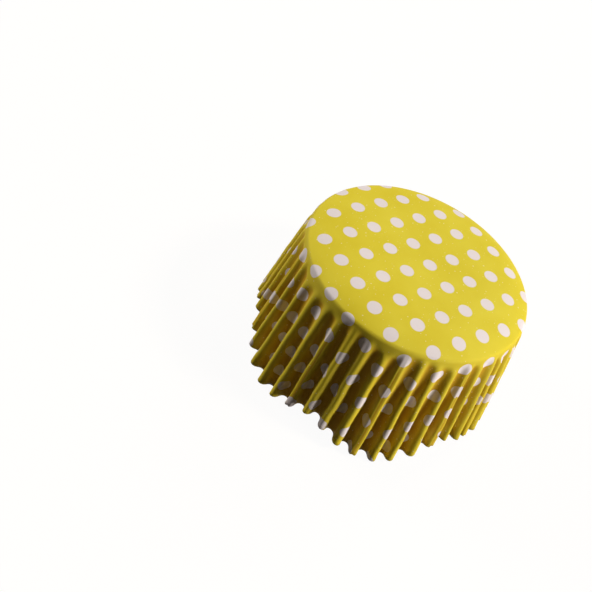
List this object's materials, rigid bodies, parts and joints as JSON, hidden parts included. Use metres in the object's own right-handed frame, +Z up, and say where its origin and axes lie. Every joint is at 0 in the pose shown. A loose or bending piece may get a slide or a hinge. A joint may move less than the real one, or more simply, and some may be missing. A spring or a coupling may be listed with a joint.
{
  "type": "fluted baking cup",
  "caption": "Pleated paper baking cup with a round base, a fluted flaring wall and a scalloped edge, standing upside down on its edge.",
  "frame": {"origin": "on the surface that the cup stands on, under the middle of its bounding box", "axes": "+Z up, from the scalloped edge to the base. The long side of the wall faces -Y, and the base leans about 7 degrees towards +Y"},
  "size_m": [0.0586, 0.0584, 0.0309],
  "materials": {
    "printed_paper": "yellow greaseproof paper with pale round dots in a square lattice, plain tan inside"
  },
  "bodies": {
    "root": {"baking_cup": "printed_paper"}
  },
  "joints": []
}
